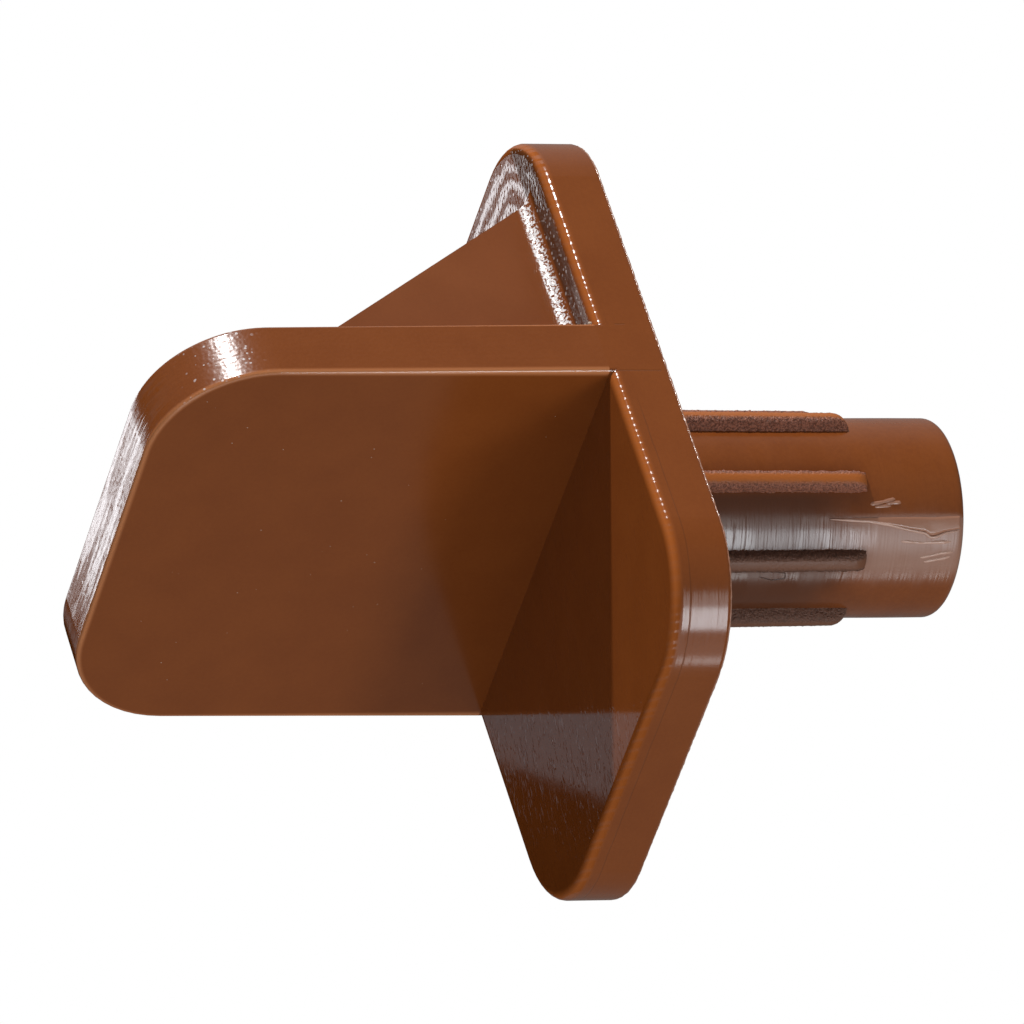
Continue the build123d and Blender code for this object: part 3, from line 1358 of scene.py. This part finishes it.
    def _ridge(self) -> Tree:
        """Thin round ridge along a line, with a width that wavers.

        Returns:
            The tree.
        """
        swing, least, taper_rate, taper_power = 2.0, 0.1, 7.0, 0.5
        numbers = sizes(Radius=0.00003, Waver=0.5, Wave_Length=0.0004, Step=0.00005, Sides=8, Seed=1)
        sheet = self._open("ridge_on_path", numbers)
        source = sheet.source
        path = sheet.put("GeometryNodeMeshToCurve", {"Mesh": source["Geometry"]}).outputs[0]
        fine = sheet.put("GeometryNodeResampleCurve", mode="LENGTH")
        sheet.feed(fine.inputs["Curve"], path)
        sheet.feed(fine.inputs["Length"], source["Step"])
        noise = self._seeded_noise(sheet, sheet.ratio(1.0, source["Wave Length"]))
        waver = sheet.product(noise, source["Waver"], swing)
        along = sheet.put("GeometryNodeSplineParameter").outputs[0]
        ends = sheet.product(along, sheet.opposite(along), taper_rate)
        taper = sheet.maths("POWER", sheet.maths("MINIMUM", ends, 1.0), taper_power)
        size = sheet.product(sheet.maths("MAXIMUM", sheet.total(1.0, waver), least), source["Radius"], taper)
        wires = {"Resolution": source["Sides"], "Radius": 1.0}
        section = sheet.put("GeometryNodeCurvePrimitiveCircle", wires).outputs[0]
        wires = {"Curve": fine.outputs[0], "Profile Curve": section, "Scale": size, "Fill Caps": True}
        self._finish(sheet, sheet.put("GeometryNodeCurveToMesh", wires).outputs[0])
        return sheet.tree

    def _specks(self) -> Tree:
        """Small grains scattered over a surface.

        Returns:
            The tree.
        """
        flatness = (0.7, 0.5)
        sheet = self._open("scattered_specks", sizes(Density=100000.0, Least=0.00001, Most=0.00003, Seed=5))
        source = sheet.source
        wires = {"Mesh": source["Geometry"], "Density": source["Density"], "Seed": source["Seed"]}
        spread = sheet.put("GeometryNodeDistributePointsOnFaces", wires, distribute_method="RANDOM")
        grain = sheet.put("GeometryNodeMeshIcoSphere", {"Radius": 1.0, "Subdivisions": 1}).outputs[0]
        size = sheet.put("FunctionNodeRandomValue", data_type="FLOAT")
        for key, value in (("Min", source["Least"]), ("Max", source["Most"]), ("Seed", source["Seed"])):
            entry = next(s for s in size.inputs if s.name == key and s.enabled)
            sheet.feed(entry, value)
        amount = next(s for s in size.outputs if s.enabled)
        shape = sheet.merge(amount, *(sheet.product(amount, share) for share in flatness))
        wires = {"Points": spread.outputs["Points"], "Instance": grain, "Scale": shape}
        wires["Rotation"] = spread.outputs["Rotation"]
        self._finish(sheet, sheet.put("GeometryNodeInstanceOnPoints", wires).outputs[0])
        return sheet.tree


# --------------------------------------------------------------------------- pieces


def settle(piece: Object) -> Object:
    """Puts a piece on the moulding's body and hides the solid that it stands in for."""
    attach(piece, BODY)
    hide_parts(NODE)
    return piece


@dataclass
class MouldedBody:
    """Plate, ledge and cheeks: a merged copy of the solid, closed where the peg is cut off."""

    name: str = "plate_and_ledge"
    weld: float = 1e-7
    cut: float = -1e-6

    def mesh(self, solid: Object) -> bpy.types.Mesh:
        """Copies the solid's faces in front of the panel, with the normals of the true surfaces.

        Args:
            solid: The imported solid's object, whose mesh is only read.

        Returns:
            The merged and closed mesh.
        """
        data = solid.data
        corners = np.array([loop.vertex_index for loop in data.loops]).reshape(-1, 3)
        points = np.array([v.co for v in data.vertices])
        normals = np.array([n.vector for n in data.corner_normals]).reshape(-1, 3, 3)
        centres = points[corners].mean(1)
        keep = centres[:, 0] > self.cut
        corners, normals = corners[keep], normals[keep]
        keys = np.round(points / self.weld).astype(np.int64)
        places, first = np.unique(keys[corners.ravel()], axis=0, return_inverse=True)
        faces = first.reshape(-1, 3)
        whole = (faces[:, 0] != faces[:, 1]) & (faces[:, 1] != faces[:, 2]) & (faces[:, 0] != faces[:, 2])
        faces, normals = faces[whole], normals[whole]
        cap = self._cap(faces, places * self.weld)
        cap_normals = np.tile(np.array([-1.0, 0.0, 0.0]), (len(cap), 3, 1))
        mesh = bpy.data.meshes.new(self.name)
        mesh.from_pydata((places * self.weld).tolist(), [], np.vstack([faces, cap]).tolist())
        mesh.validate()
        mesh.shade_smooth()
        mesh.normals_split_custom_set(np.vstack([normals, cap_normals]).reshape(-1, 3).tolist())
        return mesh

    @staticmethod
    def _cap(faces: np.ndarray, places: np.ndarray) -> np.ndarray:
        """Faces that close the hole which the peg leaves in the plate's back.

        Args:
            faces: The triangles, as vertex numbers.
            places: Every vertex, in metres.

        Returns:
            A fan of triangles over the hole, facing the panel.
        """
        sides = np.vstack([faces[:, [0, 1]], faces[:, [1, 2]], faces[:, [2, 0]]])
        there = {tuple(s) for s in sides}
        edge = {a: b for a, b in there if (b, a) not in there}
        ring = [next(iter(edge))]
        while edge[ring[-1]] != ring[0]:
            ring.append(edge[ring[-1]])
        fan = tessellate_polygon([[Vector(places[i]) for i in ring]])
        made = np.array([[ring[i] for i in tri] for tri in fan])
        sample = places[made[0]]
        if np.cross(sample[1] - sample[0], sample[2] - sample[0])[0] > 0:
            made = made[:, ::-1]
        return made

    def build(self, solid: Object, finish: Material) -> Object:
        """Makes the piece and dresses it.

        Args:
            solid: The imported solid's object.
            finish: Its material.

        Returns:
            The finished piece.
        """
        mesh = self.mesh(solid)
        mesh.materials.append(finish)
        return settle(add_object(self.name, mesh))


@dataclass
class Peg:
    """Round core of the peg: drafted behind the ribs, parallel at the nose, with a rounded end."""

    name: str = "peg_core"
    inside: float = 0.3
    root_radius: float = 2.411
    radius: float = 2.39
    draft_length: float = 6.1
    length: float = 8.6
    end_radius: float = 0.18
    around: int = 180
    end_steps: int = 7
    step: float = 0.12
    unevenness: float = 0.004
    waves_around: int = 3
    waves_along: float = 1.3
    wave_shift: float = 0.4
    sharp_angle: float = 50.0

    def profile(self) -> list[tuple[float, float]]:
        """Half section of the core.

        Returns:
            Distance along the axis and radius, from inside the plate to the end's flat.
        """
        back = -self.length + self.end_radius
        stations = np.linspace(self.inside, back, round((self.inside - back) / self.step))
        line = []
        for x in stations:
            share = min(max((x + self.draft_length) / self.draft_length, 0.0), 1.0)
            line.append((float(x), self.radius + share * (self.root_radius - self.radius)))
        for n in range(1, self.end_steps + 1):
            turn = n / self.end_steps * math.pi / 2
            inward = self.end_radius * (1 - math.cos(turn))
            line.append((back - self.end_radius * math.sin(turn), self.radius - inward))
        return line

    def build(self, finish: Material) -> Object:
        """Turns the profile round the axis and closes both ends.

        Args:
            finish: Its material.

        Returns:
            The finished piece.
        """
        line = self.profile()
        points, faces = [], []
        for x, radius in line:
            for n in range(self.around):
                turn = 2 * math.pi * n / self.around
                wave = math.sin(self.waves_around * turn + x)
                wave *= math.sin(self.waves_along * x + self.wave_shift)
                size = (radius - abs(self.unevenness * wave)) * MM
                points.append((x * MM, -math.cos(turn) * size, math.sin(turn) * size))
        for row in range(len(line) - 1):
            for n in range(self.around):
                a, b = row * self.around + n, row * self.around + (n + 1) % self.around
                faces.append((a, b, b + self.around, a + self.around))
        for row, flip in ((0, False), (len(line) - 1, True)):
            centre = len(points)
            points.append((line[row][0] * MM, 0.0, 0.0))
            for n in range(self.around):
                a, b = row * self.around + n, row * self.around + (n + 1) % self.around
                faces.append((a, b, centre) if flip else (b, a, centre))
        mesh = bpy.data.meshes.new(self.name)
        mesh.from_pydata(points, [], faces)
        mesh.shade_smooth()
        mesh.set_sharp_from_angle(angle=math.radians(self.sharp_angle))
        mesh.materials.append(finish)
        return settle(add_object(self.name, mesh))


@dataclass
class CrushRibs:
    """Ribs round the peg, which crush into the hole's wall."""

    name: str = "crush_ribs"
    count: int = 8
    start: float = 0.3
    length: float = 6.1
    bury: float = 0.25
    core_radius: float = 2.39
    crest_root: float = 2.77
    crest_end: float = 2.71
    width: float = 0.5
    crest_width: float = 0.4
    rounding: float = 0.19
    ramp: float = 0.42
    grain: float = 0.1
    steps: int = 170
    ring: int = 44
    seed: int = 3

    def build(self, trees: Trees, finish: Material) -> Object:
        """Runs the ribs' tree with these sizes.

        Args:
            trees: The geometry trees.
            finish: Its material.

        Returns:
            The finished piece.
        """
        flank = (self.width - self.crest_width) / 2 / (self.crest_root - self.core_radius)
        base = add_object(self.name + "_base", bpy.data.meshes.new(self.name + "_base"))
        values = {
            "Count": self.count,
            "Start": self.start * MM,
            "Length": self.length * MM,
            "Foot Radius": (self.core_radius - self.bury) * MM,
            "Core Radius": self.core_radius * MM,
            "Crest Root": self.crest_root * MM,
            "Crest End": self.crest_end * MM,
            "Foot Width": (self.width + 2 * self.bury * flank) * MM,
            "Crest Width": self.crest_width * MM,
            "Rounding": self.rounding * MM,
            "Ramp": self.ramp * MM,
            "Grain": self.grain * MM,
            "Steps": self.steps,
            "Ring": self.ring,
            "Seed": self.seed,
            "Material": finish,
        }
        return settle(run_tree(base, trees.ribs, values, self.name))


def closed_mesh(name: str, points: list[Point], faces: list[tuple[int, ...]]) -> bpy.types.Mesh:
    """Makes a closed mesh whose normals point outward.

    Args:
        name: Name of the mesh.
        points: Its vertices, in millimetres.
        faces: Its faces, all turning the same way.

    Returns:
        The mesh, smoothly shaded.
    """
    mesh = bpy.data.meshes.new(name)
    mesh.from_pydata([Vector(p) * MM for p in points], [], faces)
    volume = 0.0
    for face in mesh.polygons:
        first, *rest = (mesh.vertices[i].co for i in face.vertices)
        volume += sum(first.dot(a.cross(b)) for a, b in zip(rest, rest[1:]))
    if volume < 0:
        mesh.flip_normals()
    mesh.shade_smooth()
    return mesh


def on_peg(x: float, degrees: float, lift: float = 0.0) -> Point:
    """Point on the peg's surface, at an angle from -Y towards +Z."""
    radius = Peg.radius + lift
    turn = math.radians(degrees)
    return (x, -radius * math.cos(turn), radius * math.sin(turn))


def on_peg_lines(tracks: tuple[Track, ...], lift: float = 0.0) -> tuple[tuple[Point, ...], ...]:
    """Lines on the peg's surface, from distances along it and angles round it."""
    return tuple(tuple(on_peg(x, degrees, lift) for x, degrees in track) for track in tracks)


@dataclass
class FineRidges:
    """Fine raised lines that follow the moulding's surface."""

    name: str
    lines: tuple[tuple[Point, ...], ...]
    radius: float
    waver: float = 0.5
    wave_length: float = 0.3
    step: float = 0.04
    seed: int = 1

    def build(self, trees: Trees, finish: Material) -> Object:
        """Runs the ridge tree on all lines.

        Args:
            trees: The geometry trees.
            finish: Material of the ridges.

        Returns:
            The finished piece.
        """
        points = [Vector(p) * MM for line in self.lines for p in line]
        edges, start = [], 0
        for line in self.lines:
            edges += [(i, i + 1) for i in range(start, start + len(line) - 1)]
            start += len(line)
        mesh = bpy.data.meshes.new(self.name + "_base")
        mesh.from_pydata(points, edges, [])
        values = {
            "Radius": self.radius * MM,
            "Waver": self.waver,
            "Wave Length": self.wave_length * MM,
            "Step": self.step * MM,
            "Seed": self.seed,
            "Material": finish,
        }
        return settle(run_tree(add_object(mesh.name, mesh), trees.ridge, values, self.name))


@dataclass
class NoseFlash:
    """Thin plastic that was smeared over the nose of the peg, below the parting line."""

    name: str = "nose_flash"
    parting: Track = ((-5.1, 43.4), (-6.2, 42.6), (-7.3, 41.8), (-8.45, 41.2))
    torn: Track = (
        (-5.1, 43.8),
        (-5.59, 44.4),
        (-6.13, 45.2),
        (-6.64, 47.2),
        (-7.16, 50.1),
        (-7.55, 51.8),
        (-7.69, 54.2),
        (-7.82, 54.2),
        (-8.07, 51.9),
        (-8.45, 50.2),
    )
    lift: float = 0.045
    first_share: float = 0.25
    root: float = -0.06
    depth: float = 0.05
    rows: int = 9
    columns: int = 90

    def edge(self, line: Track, x: float) -> float:
        """Angle of one of the flash's edges at a distance x."""
        stations = [p[0] for p in reversed(line)]
        return float(np.interp(x, stations, [p[1] for p in reversed(line)]))

    def build(self, finish: Material) -> Object:
        """Makes the sheet as a closed shell that is let into the peg.

        Args:
            finish: Its material.

        Returns:
            The finished piece.
        """
        points, faces = [], []
        stations = np.linspace(self.parting[0][0], self.parting[-1][0], self.columns)
        for level in (1, 0):
            for x in stations:
                first, last = self.edge(self.parting, x), self.edge(self.torn, x)
                for row in range(self.rows):
                    share = row / (self.rows - 1)
                    rim = row in (0, self.rows - 1)
                    rise = self.first_share + (1 - self.first_share) * share
                    lift = self.root if rim or not level else self.lift * rise
                    angle = first + share * (last - first)
                    points.append(on_peg(float(x), angle, lift - (1 - level) * self.depth))
        size = self.rows * self.columns
        for i in range(self.columns - 1):
            for j in range(self.rows - 1):
                a = i * self.rows + j
                quad = (a, a + 1, a + self.rows + 1, a + self.rows)
                faces.append(quad)
                faces.append(tuple(size + k for k in reversed(quad)))
        ring = [i * self.rows for i in range(self.columns)]
        ring += [(self.columns - 1) * self.rows + j for j in range(1, self.rows)]
        ring += [i * self.rows + self.rows - 1 for i in reversed(range(self.columns - 1))]
        ring += list(reversed(range(1, self.rows - 1)))
        for a, b in zip(ring, ring[1:] + ring[:1]):
            faces.append((a, b, size + b, size + a))
        mesh = closed_mesh(self.name, points, faces)
        mesh.materials.append(finish)
        return settle(add_object(self.name, mesh))


@dataclass
class EdgeBurrs:
    """Ragged edge round the plate's back, left where the two halves of the mould met."""

    name: str = "edge_burrs"
    half: Range = (6.0, 8.15)
    offset: float = 0.05
    corner: float = 2.62
    inset: float = 0.04
    corner_steps: int = 12
    radius: float = 0.026
    waver: float = 0.9
    wave_length: float = 0.16
    step: float = 0.045
    seed: int = 4

    def ring(self) -> tuple[Point, ...]:
        """Closed line along the plate's back edge."""
        turned = []
        for n, (y, z) in enumerate(((1, 1), (-1, 1), (-1, -1), (1, -1))):
            middle = (y * (self.half[0] - self.corner), z * (self.half[1] - self.corner) + self.offset)
            for k in range(self.corner_steps + 1):
                turn = math.pi / 2 * (n + k / self.corner_steps)
                reach = self.corner - self.inset
                along, up = reach * math.cos(turn), reach * math.sin(turn)
                turned.append((self.inset, middle[0] + along, middle[1] + up))
        return (*turned, turned[0])

    def build(self, trees: Trees, finish: Material) -> Object:
        """Runs a wavering ridge along the edge."""
        wave = (self.waver, self.wave_length, self.step, self.seed)
        return FineRidges(self.name, (self.ring(),), self.radius, *wave).build(trees, finish)


@dataclass
class Specks:
    """Dust on the ledge's top."""

    name: str = "dust_specks"
    along: Range = (2.2, 11.2)
    half_width: float = 5.2
    level: float = 0.875
    density: float = 0.5
    least: float = 0.008
    most: float = 0.022
    seed: int = 12

    def build(self, trees: Trees, finish: Material) -> Object:
        """Scatters the specks with the specks' tree."""
        (near, far), side = self.along, self.half_width
        corners = [(near, -side), (far, -side), (far, side), (near, side)]
        mesh = bpy.data.meshes.new(self.name + "_base")
        mesh.from_pydata([Vector((*c, self.level)) * MM for c in corners], [], [tuple(range(len(corners)))])
        values = {
            "Density": self.density / MM**2,
            "Least": self.least * MM,
            "Most": self.most * MM,
            "Seed": self.seed,
            "Material": finish,
        }
        return settle(run_tree(add_object(mesh.name, mesh), trees.specks, values, self.name))


# Lines on the nose, as distance along the peg and angle round it
SMEARS = (
    ((-6.05, 35.6), (-6.2, 35.2), (-6.45, 34.2), (-6.9, 31.5)),
    ((-6.2, 36.9), (-6.45, 36.5), (-6.75, 36.1)),
    ((-6.5, 34.9), (-6.75, 34.5), (-7.0, 34.4)),
)
TORN_EDGE = NoseFlash.torn
CREASES = (
    ((-7.44, 66.7), (-7.75, 65.5), (-8.04, 63.7), (-8.38, 63.1)),
    ((-7.57, 69.2), (-8.02, 67.4), (-8.31, 65.6)),
    ((-6.9, 56.5), (-7.5, 57.6), (-8.3, 57.0)),
)
DENT = (
    (-3.46, 75.9),
    (-3.71, 74.6),
    (-4.1, 76.0),
    (-4.14, 79.5),
    (-3.82, 80.9),
    (-3.49, 78.7),
    (-3.46, 75.9),
)

# Crumb beside the root of a cheek
CRUMB = ((1.5, -5.94, -0.7), (1.56, -5.92, -0.7), (1.6, -5.93, -0.71))


# --------------------------------------------------------------------------- studio


# What a face towards +X mirrors to the camera: the direction, and the camera's up seen in it
FORWARD = (0.357, 0.682, -0.639)
UPWARD = (0.003, -0.685, -0.729)

# The point that most lamps face: the origin, on the peg's axis
CENTRE: Point = (0.0, 0.0, 0.0)

# Tints of the lamps
COOL: Colour = (0.9, 0.95, 1.0)
PALE_COOL: Colour = (0.94, 0.96, 1.0)
COOLEST: Colour = (0.85, 0.92, 1.0)


@dataclass(frozen=True)
class SoftLamp:
    """Rectangular lamp that faces a point of the object."""

    name: str
    direction: Point
    distance: float
    width: float
    height: float
    brightness: float
    aim: Point = CENTRE
    upright: Point = (0.0, 0.0, 1.0)
    tint: Colour = WHITE

    def build(self) -> Object:
        """Makes the lamp. Its brightness is what a mirror would show of it.

        Returns:
            The lamp's object.
        """
        lamp = bpy.data.lights.new(self.name, "AREA")
        lamp.shape = "RECTANGLE"
        lamp.size, lamp.size_y = self.width * MM, self.height * MM
        lamp.energy = math.pi * lamp.size * lamp.size_y * self.brightness
        lamp.color = self.tint
        made = add_object(self.name, lamp)
        back = Vector(self.direction).normalized()
        right = Vector(self.upright).cross(back).normalized()
        turn = Matrix((right, back.cross(right), back)).transposed()
        place = (Vector(self.aim) + back * self.distance) * MM
        made.matrix_world = Matrix.Translation(place) @ turn.to_4x4()
        made.visible_camera = False
        return made


# Direction, distance, width, height and brightness of each lamp, and then the point that it faces,
# which way is up on it, and its tint. The cards are what the ledge's tip, the plate's foot and the
# plate's upper half mirror.
LAMPS = (
    SoftLamp("key_lamp", (0.3, -0.653, -0.695), 300.0, 9.0, 9.0, 3700.0),
    SoftLamp(
        "strip_lamp", (-0.357, -0.365, 0.86), 150.0, 26.0, 54.0, 12.5, CENTRE, (0.0, -0.914, -0.407), COOL
    ),
    SoftLamp("low_strip_lamp", (-0.37, -0.62, 0.69), 150.0, 18.0, 34.0, 3.5),
    SoftLamp("far_strip_lamp", (-0.37, 0.35, 0.85), 150.0, 20.0, 20.0, 5.0),
    SoftLamp("overhead_lamp", (0.1, 0.05, 0.99), 160.0, 170.0, 170.0, 0.85),
    SoftLamp("side_lamp", (0.6, -0.1, 0.8), 200.0, 90.0, 90.0, 1.5),
    SoftLamp("tip_card", FORWARD, 45.0, 8.0, 13.0, 6.0, (10.285, -5.516, -0.144), UPWARD, PALE_COOL),
    SoftLamp("foot_card", FORWARD, 45.0, 7.4, 4.6, 4.6, (-2.121, -6.052, -7.637), UPWARD, PALE_COOL),
    SoftLamp(
        "low_card", FORWARD, 45.0, 8.0, 4.0, 0.45, (2.23, 2.95, 4.39), (0.307, -0.732, -0.609), COOLEST
    ),
)


@dataclass
class Studio:
    """Pale floor, white surroundings and soft lamps."""

    lamps: tuple[SoftLamp, ...] = LAMPS
    floor_drop: float = 260.0
    floor_size: float = 3000.0
    floor_colour: Colour = (0.8, 0.8, 0.8)
    surround: float = 0.19
    panel_distance: float = 52.0
    panel_size: float = 60.0

    def build(self) -> None:
        """Makes the floor, the black panel, the surroundings and the lamps."""
        self._floor()
        self._panel()
        self._world()
        for lamp in self.lamps:
            lamp.build()

    @staticmethod
    def _white_to_camera(sheet: NodeSheet, plain: Socket, kind: str) -> Socket:
        """Shader that the camera sees as white and everything else as it is.

        Args:
            sheet: The sheet to draw on.
            plain: The shader for the object's light.
            kind: Blender's type name of the white shader.

        Returns:
            The mixed shader.
        """
        white = sheet.put(kind, {"Color": WHITE, "Strength": 1.0}).outputs[0]
        rays = sheet.put("ShaderNodeLightPath").outputs
        return sheet.put("ShaderNodeMixShader", {0: rays["Is Camera Ray"], 1: plain, 2: white}).outputs[0]

    def _square(self, name: str, size: float, place: Matrix, colour: Colour, white: bool) -> Object:
        """Makes a flat matt square that isn't part of the object.

        Args:
            name: Its name.
            size: Length of its sides, in millimetres.
            place: Where it lies.
            colour: Its colour.
            white: Whether the camera sees it as white.

        Returns:
            The square's object.
        """
        half = size / 2 * MM
        mesh = bpy.data.meshes.new(name)
        corners = [(x * half, y * half, 0.0) for x, y in ((-1, -1), (1, -1), (1, 1), (-1, 1))]
        mesh.from_pydata(corners, [], [tuple(range(len(corners)))])
        mesh.transform(place)
        material = bpy.data.materials.new("matt_" + name)
        material.use_nodes = True
        sheet = NodeSheet(material.node_tree)
        sheet.tree.nodes.clear()
        matt = sheet.put("ShaderNodeBsdfDiffuse", {"Color": colour}).outputs[0]
        seen = self._white_to_camera(sheet, matt, "ShaderNodeEmission") if white else matt
        sheet.put("ShaderNodeOutputMaterial", {0: seen})
        mesh.materials.append(material)
        made = add_object(name, mesh)
        return made

    def _floor(self) -> None:
        """Level floor well below the support, which is held in the air as in its panel."""
        place = Matrix.Translation((0.0, 0.0, -self.floor_drop * MM))
        self._square("floor", self.floor_size, place, self.floor_colour, True)

    def _panel(self) -> None:
        """Black panel that the camera doesn't see, for faces that would mirror the surroundings."""
        back = Vector(FORWARD).normalized()
        turn = back.to_track_quat("Z", "Y").to_matrix().to_4x4()
        place = Matrix.Translation(back * self.panel_distance * MM) @ turn
        self._square("black_panel", self.panel_size, place, BLACK, False).visible_camera = False

    def _world(self) -> None:
        """Even surroundings, white to the camera."""
        world = bpy.data.worlds.new("surroundings")
        bpy.context.scene.world = world
        world.use_nodes = True
        sheet = NodeSheet(world.node_tree)
        sheet.tree.nodes.clear()
        plain = sheet.put("ShaderNodeBackground", {"Color": WHITE, "Strength": self.surround}).outputs[0]
        mixed = self._white_to_camera(sheet, plain, "ShaderNodeBackground")
        sheet.put("ShaderNodeOutputWorld", {0: mixed})


@dataclass(frozen=True)
class PhotoCamera:
    """Camera where the photograph was taken from, found from the support's own edges."""

    right: Point = (-0.9342018507, -0.2582061767, 0.2461635075)
    down: Point = (0.0027804406, 0.6847358661, 0.7287860199)
    ahead: Point = (-0.3567340343, 0.6815176916, -0.6389635864)
    place: Point = (101.784510, -190.659612, 178.525516)
    focal_pixels: float = 11819.6375
    image_pixels: float = 1024.0
    sensor: float = 36.0
    clip: Range = (0.01, 10.0)

    def build(self) -> None:
        """Makes the camera and sets it as the scene's."""
        data = bpy.data.cameras.new("photo_camera")
        data.sensor_width = self.sensor
        data.lens = self.focal_pixels / self.image_pixels * self.sensor
        data.clip_start, data.clip_end = self.clip
        made = add_object("photo_camera", data)
        axes = Matrix((Vector(self.right), -Vector(self.down), -Vector(self.ahead))).transposed()
        made.matrix_world = Matrix.Translation(Vector(self.place) * MM) @ axes.to_4x4()
        bpy.context.scene.camera = made


def nose_marks(trees: Trees, effects: Effects, flash: Material) -> list[Object]:
    """Builds the fine lines on the peg: the flash's torn edge, creases, smears and the dent's rim.

    Args:
        trees: The geometry trees.
        effects: The shared groups.
        flash: Material of the flash.

    Returns:
        The finished pieces.
    """
    # Paler colour painted as highlights on the torn edge and the creases
    scuff_highlight = ScuffHighlightFinish().material(effects)
    # Darker colour painted as the shade of the dent
    dent = DentShadeFinish().material(effects)
    smears = on_peg_lines(SMEARS, lift=-0.067)
    return [
        FineRidges("torn_edge", on_peg_lines((TORN_EDGE,), lift=0.012), radius=0.036).build(trees, scuff_highlight),
        FineRidges("nose_creases", on_peg_lines(CREASES, lift=-0.03), radius=0.048).build(trees, scuff_highlight),
        FineRidges("nose_smears", smears, radius=0.077, waver=0.2).build(trees, flash),
        FineRidges("dent_rim", on_peg_lines((DENT,)), radius=0.018).build(trees, dent),
    ]


def main() -> None:
    """Builds the support, its studio and the camera, and reports each piece."""
    logging.basicConfig(level=logging.INFO, format="%(name)s: %(message)s")
    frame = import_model()
    solid = frame["nodes"][NODE]
    bpy.context.scene.view_settings.view_transform = "Standard"

    effects = Effects()
    trees = Trees()
    flash = FlashFinish().material(effects)
    dust = DustFinish().material(effects)
    crumb = FineRidges("root_crumb", (CRUMB,), radius=0.045, waver=0.6, wave_length=0.05, step=0.02)
    pieces = [
        MouldedBody().build(solid, MouldedBodyFinish().material(effects)),
        Peg().build(TurnedPegFinish().material(effects)),
        CrushRibs().build(trees, ErodedRibFinish().material(effects)),
        NoseFlash().build(flash),
        *nose_marks(trees, effects, flash),
        EdgeBurrs().build(trees, flash),
        crumb.build(trees, dust),
        Specks().build(trees, dust),
    ]
    for piece in pieces:
        log.info("%s: %d faces", piece.name, len(piece.data.polygons))

    Studio().build()
    PhotoCamera().build()


if __name__ == "__main__":
    main()
